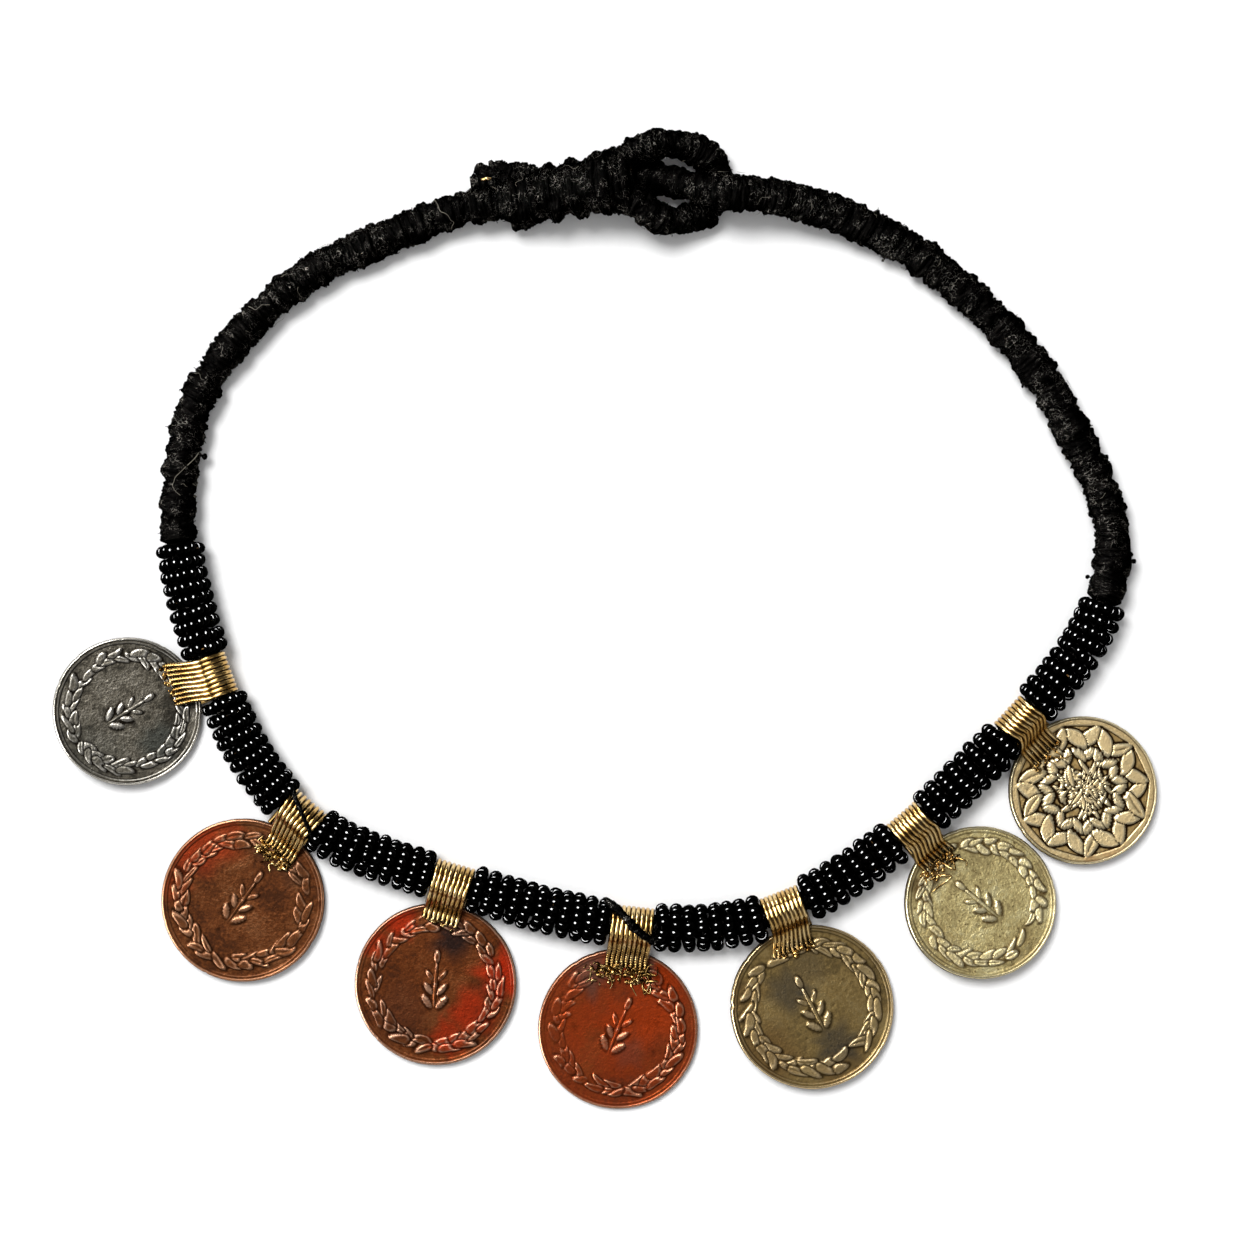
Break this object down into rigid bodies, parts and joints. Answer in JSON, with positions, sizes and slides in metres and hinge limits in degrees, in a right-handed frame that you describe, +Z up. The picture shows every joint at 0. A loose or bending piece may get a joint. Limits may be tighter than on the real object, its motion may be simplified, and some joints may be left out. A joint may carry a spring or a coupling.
{
  "type": "coin necklace",
  "caption": "Close-fitting necklace of black seed beads round a cord, with old coins hanging on bands of gold wire and a thread-wound loop-and-knob closure, lying flat.",
  "frame": {"origin": "on the surface it lies on, under the middle of its outline", "axes": "+Z up from the surface, +Y from the middle towards the closure, +X to the right seen from above"},
  "size_m": [0.1768, 0.1566, 0.0125],
  "materials": {
    "wound_thread": "matte",
    "seed_beads": "gloss",
    "gold_wire": "satin",
    "coin_nickel": "satin",
    "coin_copper": "satin",
    "coin_red_copper": "satin",
    "coin_bronze": "satin",
    "coin_green_brass": "satin",
    "coin_pale_brass": "satin"
  },
  "bodies": {
    "root": {"cord_left": "wound_thread", "cord_core": "wound_thread", "cord_right": "wound_thread", "binding": "wound_thread", "loop_eye": "wound_thread", "knob": "wound_thread", "bead_sleeve_1": "seed_beads", "bead_sleeve_2": "seed_beads", "bead_sleeve_3": "seed_beads", "bead_sleeve_4": "seed_beads", "bead_sleeve_5": "seed_beads", "bead_sleeve_6": "seed_beads", "bead_sleeve_7": "seed_beads", "bead_sleeve_8": "seed_beads", "coin_pendant_1": "coin_nickel", "coin_pendant_2": "coin_copper", "coin_pendant_3": "coin_copper", "coin_pendant_4": "coin_red_copper", "coin_pendant_5": "coin_bronze", "coin_pendant_6": "coin_green_brass", "coin_pendant_7": "coin_pale_brass"}
  },
  "joints": []
}
